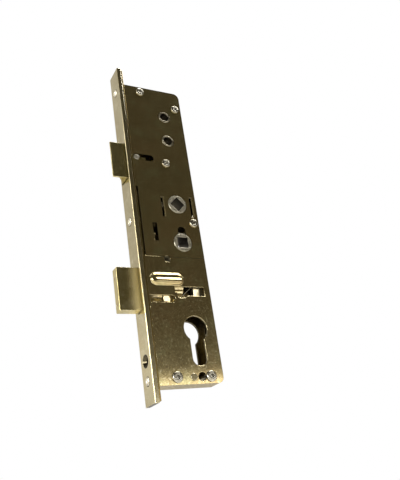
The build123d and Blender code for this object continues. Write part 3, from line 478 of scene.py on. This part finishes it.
def metal(name, tone, worn_and_highlight, dark, rough, grain_axis="Z", grain=0.35, speck=0.25, scratch=0.3,
          edge=0.7, mottle=0.05, cavity=1.6, shade=0.55, bore=0.0, wear_and_reflection_strip=None,
          sheet=False, hue=0.0, bore_axis="Y", age=0.5):
    """Plated steel in three colours: its usual tone, that of its wear and painted highlights, and
    where it is dark.

    The grain is drawn out along grain_axis. The drift of its colour has mottle features to the
    millimetre, and dirt with painted shade reaches cavity millimetres out of corners. grain, speck,
    scratch, edge, shade, bore, hue and age are strengths: edge of the wear and painted highlights
    on edges, shade of the dirt and painted shade in corners, and bore of the painted shade in the
    walls of openings. The argument for the strip gives x of the start and of the end of a strip
    where sliding has left wear and that carries a painted reflection of the faceplate, and its
    strength.
    sheet adds what holds for the covers and the tray only.
    """
    steel = Plating(name)
    add_patterns(steel, grain_axis, mottle)
    add_edges_and_corners(steel, cavity)
    if sheet:
        add_sheet_marks(steel)
        age = steel.spread_mm(steel.place["Z"], NEW_TO_OLD_Z, 0.5 * age, 1.3 * age)
    colour = plated_colour(steel, tone, worn_and_highlight, dark, grain, speck, scratch, edge, shade, hue, age)
    if bore:
        colour = darken_walls(steel, colour, bore, bore_axis, sheet)
    if wear_and_reflection_strip:
        # brighter where the piece slides in its slot: wear from sliding, and a painted reflection
        # of the faceplate next to it
        start, end, strength = wear_and_reflection_strip
        ragged = steel.add(steel.place["X"], steel.times(steel.drift, 2.5 * MM))
        strip = steel.spread_mm(ragged, (start, end))
        colour = steel.blend("MIX", steel.times(strip, strength), colour, WEAR_AND_REFLECTION_TINT)
        rough = steel.add(steel.times(strip, 0.22), rough)
    steel.links.new(colour, steel.shader.inputs["Base Color"])

    drawn_part = steel.times(steel.math("SUBTRACT", steel.drawn, 0.5), grain * 0.35)
    cloud_part = steel.times(steel.math("SUBTRACT", steel.cloud, 0.5), 0.08)
    gloss = steel.add(steel.add(drawn_part, rough), cloud_part)
    gloss = steel.add(gloss, steel.times(steel.grime, 0.25), clamp=True)
    steel.links.new(gloss, steel.shader.inputs["Roughness"])
    set_relief(steel, grain, scratch, age, sheet)
    return steel.material


# Each look is what metal() takes: name, tone, the colour of wear and painted highlights, dark and
# roughness, then what isn't usual.
LOOKS = {
    "cover": ("cover_plate", (0.62, 0.50, 0.25), (0.86, 0.76, 0.48), (0.54, 0.45, 0.23), 0.17,
              dict(grain=0.22, speck=0.35, edge=0.85, mottle=0.02, bore=0.6, sheet=True,
                   hue=0.35)),
    # the tray's inside gets dirt and painted shade from far out of its corners
    "tray": ("case_tray", (0.56, 0.46, 0.26), (0.92, 0.83, 0.54), (0.44, 0.36, 0.18), 0.24,
             dict(grain=0.25, speck=0.3, cavity=9.0, shade=0.8, bore=0.90, sheet=True)),
    "faceplate": ("faceplate", (0.56, 0.50, 0.31), (0.95, 0.88, 0.70), (0.50, 0.43, 0.25), 0.19,
                  dict(grain=0.30, speck=0.10, edge=0.9, mottle=0.03, bore=0.9, bore_axis="X",
                       age=0.12)),
    "rail": ("rail", (0.42, 0.31, 0.12), (0.66, 0.52, 0.26), (0.36, 0.28, 0.09), 0.22,
             dict(grain=0.4, speck=0.3, edge=0.5, bore=0.9, bore_axis="X", age=0.15)),
    "bolt": ("bolt_steel", (0.70, 0.60, 0.30), (0.97, 0.91, 0.70), (0.56, 0.47, 0.20), 0.17,
             dict(grain_axis="X", grain=0.2, speck=0.45, edge=0.95, mottle=0.04,
                  wear_and_reflection_strip=(-44.0, -35.5, 0.6), age=0.3)),
    "latch": ("latch_casting", (0.62, 0.53, 0.25), (0.92, 0.84, 0.56), (0.46, 0.40, 0.17), 0.24,
              dict(grain_axis="X", grain=0.2, speck=0.6, edge=0.85, mottle=0.06)),
    "zinc": ("fastener_zinc", (0.50, 0.48, 0.40), (0.84, 0.82, 0.74), (0.38, 0.35, 0.27), 0.24,
             dict(grain_axis="Y", grain=0.12, speck=0.3, mottle=0.2, cavity=1.4, shade=0.85)),
    "follower": ("follower_zinc", (0.54, 0.51, 0.40), (0.88, 0.84, 0.70), (0.38, 0.35, 0.25), 0.36,
                 dict(grain_axis="Y", grain=0.12, speck=0.6, edge=0.45, mottle=0.12, cavity=2.0,
                      shade=0.8, bore=0.93)),
    "bush": ("bush_zinc", (0.36, 0.32, 0.22), (0.84, 0.78, 0.60), (0.24, 0.21, 0.14), 0.32,
             dict(grain_axis="Y", grain=0.12, speck=0.6, edge=0.35, mottle=0.12, cavity=2.0,
                  shade=0.8, bore=0.80)),
    "lever": ("lever_steel", (0.80, 0.68, 0.40), (0.96, 0.88, 0.66), (0.68, 0.56, 0.30), 0.20,
              dict(grain=0.25, speck=0.3, edge=0.95, cavity=1.2, shade=0.5)),
    "block": ("block_steel", (0.92, 0.85, 0.62), (1.0, 0.95, 0.80), (0.72, 0.64, 0.42), 0.30,
              dict(grain_axis="X", grain=0.3, speck=0.4, edge=0.85, shade=0.7, bore=0.6)),
    "screw": ("screw_zinc", (0.86, 0.82, 0.70), (0.97, 0.95, 0.88), (0.70, 0.65, 0.50), 0.28,
              dict(grain_axis="Y", grain=0.12, speck=0.3, edge=0.8, mottle=0.2, cavity=0.9,
                   shade=0.85)),
    # the boss is near black: painted shade of the deep hole it sits in; its bright second colour
    # gives painted highlights on the edges of its thread
    "boss": ("boss_painted_dark", (0.020, 0.016, 0.010), (0.95, 0.86, 0.55), (0.012, 0.010, 0.006), 0.28,
             dict(grain_axis="Y", grain=0.3, speck=0.4, scratch=0.1, edge=0.6, shade=0.9,
                  age=0.0)),
    "leaf": ("leaf_steel", (1.0, 0.95, 0.78), (1.0, 0.98, 0.90), (0.85, 0.78, 0.58), 0.30,
             dict(grain_axis="Y", grain=0.2, speck=0.3, edge=0.9, mottle=0.1, cavity=0.8,
                  shade=0.3)),
    "spring": ("spring_steel", (0.42, 0.40, 0.36), (0.75, 0.72, 0.66), (0.25, 0.23, 0.19), 0.24,
               dict(grain_axis="Y", grain=0.2, speck=0.3, scratch=0.2, edge=0.5, mottle=0.3)),
    "roller": ("hardened_steel", (0.50, 0.32, 0.16), (0.78, 0.60, 0.38), (0.34, 0.20, 0.11), 0.26,
               dict(grain_axis="X", grain=0.3, speck=0.3, scratch=0.2, edge=0.6, mottle=0.3)),
}

NODE_LOOK = {
    "cover": ("upper_cover", "lower_cover"),
    "tray": ("case_tray",),
    "faceplate": ("faceplate", "locating_pin"),
    "rail": ("drive_rail",),
    "bolt": ("deadbolt",),
    "latch": ("latch_bolt",),
    "zinc": ("upper_cover_screws", "lower_cover_screws", "faceplate_screws",
             "latch_lever_pin", "latch_spring_rod", "bracket_rivet", "cheek_rivets",
             "bolt_drive_pin"),
    "screw": ("latch_guide_pin",),
    "follower": ("upper_follower", "lower_follower"),
    "bush": ("upper_handle_bush", "lower_handle_bush"),
    "lever": ("drive_slider", "latch_link", "latch_lever", "latch_spring_bracket", "front_cheek",
              "rear_cheek", "front_throw_lever", "rear_throw_lever"),
    "block": ("top_mounting_block", "middle_mounting_block", "bottom_mounting_block",
              "cover_posts", "latch_lever_post", "throw_pivot", "spring_anchor_pins",
              "tail_guide"),
    "boss": ("threaded_boss",),
    "leaf": ("detent_spring",),
    "spring": ("upper_return_spring", "lower_return_spring", "latch_spring"),
    "roller": ("hardened_pins",),
}


def make_materials():
    """All the looks, by their short names."""
    return {look: metal(name, tone, worn_and_highlight, dark, rough, **rest)
            for look, (name, tone, worn_and_highlight, dark, rough, rest) in LOOKS.items()}


def dress(materials):
    """Give every CAD node its look."""
    for look, names in NODE_LOOK.items():
        for name in names:
            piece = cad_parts[name]
            piece.data.materials.clear()
            piece.data.materials.append(materials[look])
    left = set(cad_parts) - {name for names in NODE_LOOK.values() for name in names}
    assert not left, left


# ---- tools for pieces ----------------------------------------------------------------------------

def mesh_piece(name, points, faces, material, body, smooth=True):
    """New piece on a body, from points in metres, with its faces turned outward."""
    data = bpy.data.meshes.new(name)
    data.from_pydata(points, [], faces)
    outward = bmesh.new()
    outward.from_mesh(data)
    bmesh.ops.recalc_face_normals(outward, faces=outward.faces)
    outward.to_mesh(data)
    outward.free()
    if smooth:
        data.shade_smooth()
    data.materials.append(material)
    piece = add_object(name, data)
    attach(piece, body)
    return piece


def welded_copy(name):
    """Editable copy of a CAD node's mesh, with its faces joined along their edges."""
    piece = bmesh.new()
    piece.from_mesh(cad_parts[name].data)
    bmesh.ops.remove_doubles(piece, verts=piece.verts, dist=0.002 * MM)
    return piece


def edited_object(piece, new_name, material):
    """Object with one material, made of an edited copy, which is freed."""
    data = bpy.data.meshes.new(new_name)
    piece.to_mesh(data)
    piece.free()
    data.materials.clear()
    data.materials.append(material)
    return add_object(new_name, data)


def stand_in(piece, new_name, name, body, material, crease):
    """Turn an edited copy into the piece shown in place of a CAD node.

    Faces that meet at less than the crease angle, in radians, are shaded as one.
    """
    for face in piece.faces:
        face.smooth = True
    for edge in piece.edges:
        edge.smooth = edge.calc_face_angle(0.0) < crease
    made = edited_object(piece, new_name, material)
    # the CAD's own normals don't suit the new shape
    if "custom_normal" in made.data.attributes:
        made.data.attributes.remove(made.data.attributes["custom_normal"])
    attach(made, body)
    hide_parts(name)


def cut_across(piece, place, normal):
    """Split a copy's faces along a plane, in millimetres."""
    everything = piece.verts[:] + piece.edges[:] + piece.faces[:]
    bmesh.ops.bisect_plane(piece, geom=everything, plane_no=normal, dist=1e-7,
                           plane_co=tuple(c * MM for c in place))


def lies_at(vertex, front):
    """Whether a vertex is on the face at y = front, in millimetres."""
    tolerance = 0.02
    return abs(vertex.co.y - front * MM) < tolerance * MM


# ---- lower cover ---------------------------------------------------------------------------------

BEAD_LEFT, BEAD_RIGHT = -28.0, -4.0
BEAD_LOW, BEAD_HIGH = 29.9, 38.7
BEAD_CROWN = 1.15
BEAD_STEP = 0.85
# Below this height, over this length, the cover is dished by up to this depth.
FOOT_TOP, FOOT_LENGTH, FOOT_DEPTH = -24.0, 11.9, 0.31


def bead_height(x, z):
    """How far the pressed bead stands out of the cover at a point, in millimetres.

    The bead is a slot with sloped flanks, longer above than below, and a nearly flat crown. The
    lower part of the crown stands BEAD_STEP higher, and slopes down on every side.
    """
    radius = (BEAD_HIGH - BEAD_LOW) / 2
    nearest = min(max(x, BEAD_LEFT + radius), BEAD_RIGHT - radius)
    out_x = x - nearest
    out_z = z - (BEAD_LOW + radius)
    inside = radius - (out_x * out_x + out_z * out_z) ** 0.5
    if inside <= 0:
        return 0.0
    upward = max(0.0, out_z / radius)
    flank = 1.0 + 1.2 * upward
    rise = min(inside / flank, 1.0)
    crown = BEAD_CROWN * (rise + 0.10 * sin(pi * rise) * (1 - upward))
    end_gap, left_fade, right_fade = 0.6, 4.0, 2.4
    ends = max(0.0, min((x - BEAD_LEFT - end_gap) / left_fade,
                        (BEAD_RIGHT - end_gap - x) / right_fade, 1.0))
    ends = ends * ends * (3 - 2 * ends)
    step_down, step_slope, foot_slope = 3.8, 1.6, 2.2
    step = min(max((BEAD_HIGH - step_down - z) / step_slope, 0.0), 1.0)
    foot = min((z - BEAD_LOW) / foot_slope, 1.0)
    return crown + BEAD_STEP * ends * foot * step


def dish_foot(cover):
    """Draw the front of the cover in, more and more towards its foot."""
    cuts, between = 8, 1.5
    for cut in range(cuts):
        cut_across(cover, (0, 0, FOOT_TOP - between * cut), (0, 0, 1))
    for vertex in cover.verts:
        drop = max(0.0, (FOOT_TOP - vertex.co.z / MM) / FOOT_LENGTH)
        if lies_at(vertex, COVER_FRONT):
            vertex.co.y += FOOT_DEPTH * drop ** 1.7 * MM


def remove_plain_bead(cover):
    """Take away what stands out of the cover's front, and close the hole."""
    tolerance = 0.005
    bead = [face for face in cover.faces
            if min(v.co.y for v in face.verts) < (COVER_FRONT - tolerance) * MM]
    bmesh.ops.delete(cover, geom=bead, context="FACES")
    bmesh.ops.holes_fill(cover, edges=[edge for edge in cover.edges if edge.is_boundary])


def add_bead(cover):
    """Set the new bead on the cover's front as a closed shell that is sunk into the sheet."""
    columns, rows = 150, 90
    sunk, backing = 0.02, 0.5
    grid = []
    raised = []
    for row in range(rows + 1):
        z = BEAD_LOW + (BEAD_HIGH - BEAD_LOW) * row / rows
        for column in range(columns + 1):
            x = BEAD_LEFT + (BEAD_RIGHT - BEAD_LEFT) * column / columns
            height = bead_height(x, z)
            y = COVER_FRONT + sunk - height
            grid.append(cover.verts.new((x * MM, y * MM, z * MM)))
            raised.append(height > sunk)
    skin = []
    for row in range(rows):
        for column in range(columns):
            a = row * (columns + 1) + column
            corners = (a, a + 1, a + columns + 2, a + columns + 1)
            if any(raised[c] for c in corners):
                skin.append(cover.faces.new([grid[c] for c in corners]))
    back = bmesh.ops.extrude_face_region(cover, geom=skin)["geom"]
    for part in back:
        if isinstance(part, bmesh.types.BMVert):
            part.co.y = (COVER_FRONT + backing) * MM
    unused = [vertex for vertex in cover.verts if not vertex.link_faces]
    bmesh.ops.delete(cover, geom=unused, context="VERTS")


def make_lower_cover(material):
    """The lower cover again, with a stepped bead in place of the plain one and a dished foot."""
    cover = welded_copy("lower_cover")
    dish_foot(cover)
    remove_plain_bead(cover)
    add_bead(cover)
    bmesh.ops.recalc_face_normals(cover, faces=cover.faces)
    stand_in(cover, "lower_cover_pressed", "lower_cover", "case", material,
             COVER_CREASE)


# ---- pressed plates behind the windows -----------------------------------------------------------

# Bands are corners of a profile down the front of a plate, as height and depth. A set of bands
# starts at its own x and runs to the start of the next set.
PLAIN = ((101.0, 0.0), (0.0, 0.0))
CHEEK_BAR = ((22.9, 0.0), (22.05, 0.36), (21.85, 0.0), (19.9, 0.38), (19.7, 0.0))
CHEEK_FINGER = ((22.95, 0.0), (17.5, 1.1), (17.4, 0.0))
LEVER_ARM = ((29.2, 0.0), (28.2, 0.42), (28.0, 0.7), (27.4, 0.7), (27.3, 0.0), (25.7, 0.42),
             (25.6, 0.5), (23.9, 0.5), (23.8, 0.0), (21.0, 0.7), (20.9, 0.0))
GUIDE_SLOPE = ((31.0, 0.0), (24.3, 1.5))
SLIDER_TAB = ((68.6, 0.0), (66.6, 0.57), (66.4, 0.2), (64.6, 0.5), (64.4, 0.1), (61.0, 0.3),
              (60.9, 0.0))


def depth_at(z, bands):
    """Depth of a set of bands at a height. Above and below the set it is nothing."""
    for (top, top_depth), (bottom, bottom_depth) in zip(bands, bands[1:]):
        if bottom <= z <= top:
            return top_depth + (bottom_depth - top_depth) * (top - z) / (top - bottom)
    return 0.0


def make_banded(name, new_name, body, material, front, bands_at, cuts=()):
    """A CAD node again, with bands pressed into its front face, given as {start x: bands}.

    Where two sets of bands meet on an unbroken face, cuts lists that x, and the depth changes
    over a narrow strip there.
    """
    piece = welded_copy(name)
    for z in sorted({z for bands in bands_at.values() for z, _ in bands}):
        cut_across(piece, (0, 0, z), (0, 0, 1))
    half_strip = 0.02
    for x in cuts:
        for edge_x in (x - half_strip, x + half_strip):
            cut_across(piece, (edge_x, 0, 0), (1, 0, 0))
    for vertex in piece.verts:
        if lies_at(vertex, front):
            side = max((x for x in bands_at if x * MM < vertex.co.x), default=min(bands_at))
            vertex.co.y += depth_at(vertex.co.z / MM, bands_at[side]) * MM
    stand_in(piece, new_name, name, body, material, PLATE_CREASE)


def make_plates(materials):
    """The plates that are seen in the windows, with their bands."""
    lever, block = materials["lever"], materials["block"]
    make_banded("front_cheek", "front_cheek_pressed", "deadbolt", lever,
                PLATE_FRONT, {-40.0: PLAIN, -27.2: CHEEK_BAR, -19.8: CHEEK_FINGER}, (-27.2,))
    make_banded("front_throw_lever", "front_throw_lever_pressed", "throw_levers",
                lever, PLATE_FRONT, {-30.0: LEVER_ARM})
    make_banded("tail_guide", "tail_guide_sloped", "case", block, GUIDE_FRONT,
                {0.0: GUIDE_SLOPE})
    make_banded("drive_slider", "drive_slider_pressed", "rail", lever,
                PLATE_FRONT, {-40.0: PLAIN, -21.5: SLIDER_TAB})


# ---- small pieces --------------------------------------------------------------------------------

def make_thread(material):
    """Helical ridge in the bore of the threaded boss."""
    centre_x, centre_z = -13.7, 48.9
    start, end, pitch = -6.3, 6.7, 0.7
    root, crest, half_width = 1.72, 1.42, 0.3
    steps_per_turn = 28
    steps = int((end - start) / pitch * steps_per_turn)
    points = []
    faces = []
    for step in range(steps + 1):
        angle = 2 * pi * step / steps_per_turn
        y = start + pitch * step / steps_per_turn
        for radius, shift in ((root, -half_width), (crest, 0.0), (root, half_width)):
            points.append(((centre_x + radius * sin(angle)) * MM, (y + shift * pitch) * MM,
                           (centre_z + radius * cos(angle)) * MM))
        if step:
            a, b = 3 * step - 3, 3 * step
            for side in range(3):
                after = (side + 1) % 3
                faces.append((a + side, a + after, b + after, b + side))
    faces += [(0, 1, 2), (3 * steps + 2, 3 * steps + 1, 3 * steps)]
    thread = mesh_piece("boss_thread", points, faces, material, "case", smooth=False)


def make_latch_spring(material):
    """The latch spring again, between the latch and its bracket, as a welded copy shaded smooth."""
    spring = edited_object(welded_copy("latch_spring"), "latch_spring_coil", material)
    spring.data.shade_smooth()
    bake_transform(spring)
    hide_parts("latch_spring")


def make_raised_heads(material):
    """Raised crowns of the three faceplate screws, with a six-lobed recess."""
    segments = 36
    screws_z = (187.8, 78.5, -31.5)
    # radius, height above the faceplate, and how far the lobes reach, from the rim inward
    rings = ((2.85, 0.0, 0.0), (2.75, 0.25, 0.0), (2.40, 0.42, 0.0), (1.85, 0.55, 0.0),
             (1.45, 0.60, 0.10), (1.30, 0.54, 0.22), (1.15, 0.10, 0.24), (0.05, 0.06, 0.0))
    points = []
    faces = []
    for centre_z in screws_z:
        first = len(points)
        for radius, height, lobes in rings:
            for segment in range(segments):
                angle = 2 * pi * segment / segments
                reach = radius + lobes * cos(6 * angle)
                points.append(((FACEPLATE_FRONT - height) * MM, reach * sin(angle) * MM,
                               (centre_z + reach * cos(angle)) * MM))
        for ring in range(len(rings) - 1):
            for segment in range(segments):
                after = (segment + 1) % segments
                a = first + ring * segments
                b = a + segments
                faces.append((a + segment, b + segment, b + after, a + after))
        faces.append(tuple(first + segment for segment in range(segments)))
        last = first + (len(rings) - 1) * segments
        faces.append(tuple(last + segment for segment in reversed(range(segments))))
    heads = mesh_piece("raised_screw_heads", points, faces, material, "case")


def make_nib(material):
    """Small pointed nib pressed up beside a screw on the upper cover, in the brightest look so that
    it
    shows as a light triangle: a painted glint.
    """
    sunk, height, taper = 0.02, 0.35, 0.5
    middle_x, base_z = 10.9, 82.1
    foot = ((9.9, 81.9), (11.9, 82.1), (10.9, 84.3))
    points = [(x * MM, (COVER_FRONT + sunk) * MM, z * MM) for x, z in foot]
    points += [((middle_x + taper * (x - middle_x)) * MM, (COVER_FRONT - height) * MM,
                (base_z + taper * (z - base_z)) * MM) for x, z in foot]
    faces = [(0, 1, 4, 3), (1, 2, 5, 4), (2, 0, 3, 5), (3, 4, 5), (2, 1, 0)]
    nib = mesh_piece("cover_nib", points, faces, material, "case", smooth=False)


def soften(name, width):
    """Small rounding on a CAD node's sharp edges, as a modifier."""
    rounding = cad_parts[name].modifiers.new("edge_rounding", "BEVEL")
    rounding.width = width
    rounding.segments = 2
    rounding.limit_method = "ANGLE"
    rounding.angle_limit = 0.7
    rounding.use_clamp_overlap = True


# ---- the scene -----------------------------------------------------------------------------------

def main():
    make_camera()
    make_floor()
    make_world()
    light_the_scene()
    materials = make_materials()
    dress(materials)
    make_lower_cover(materials["cover"])
    make_plates(materials)
    make_thread(materials["boss"])
    make_latch_spring(materials["spring"])
    make_raised_heads(materials["screw"])
    make_nib(materials["leaf"])
    for name, width in (("faceplate", 0.16), ("drive_rail", 0.16), ("deadbolt", 0.25),
                        ("latch_bolt", 0.25)):
        soften(name, width * MM)


main()
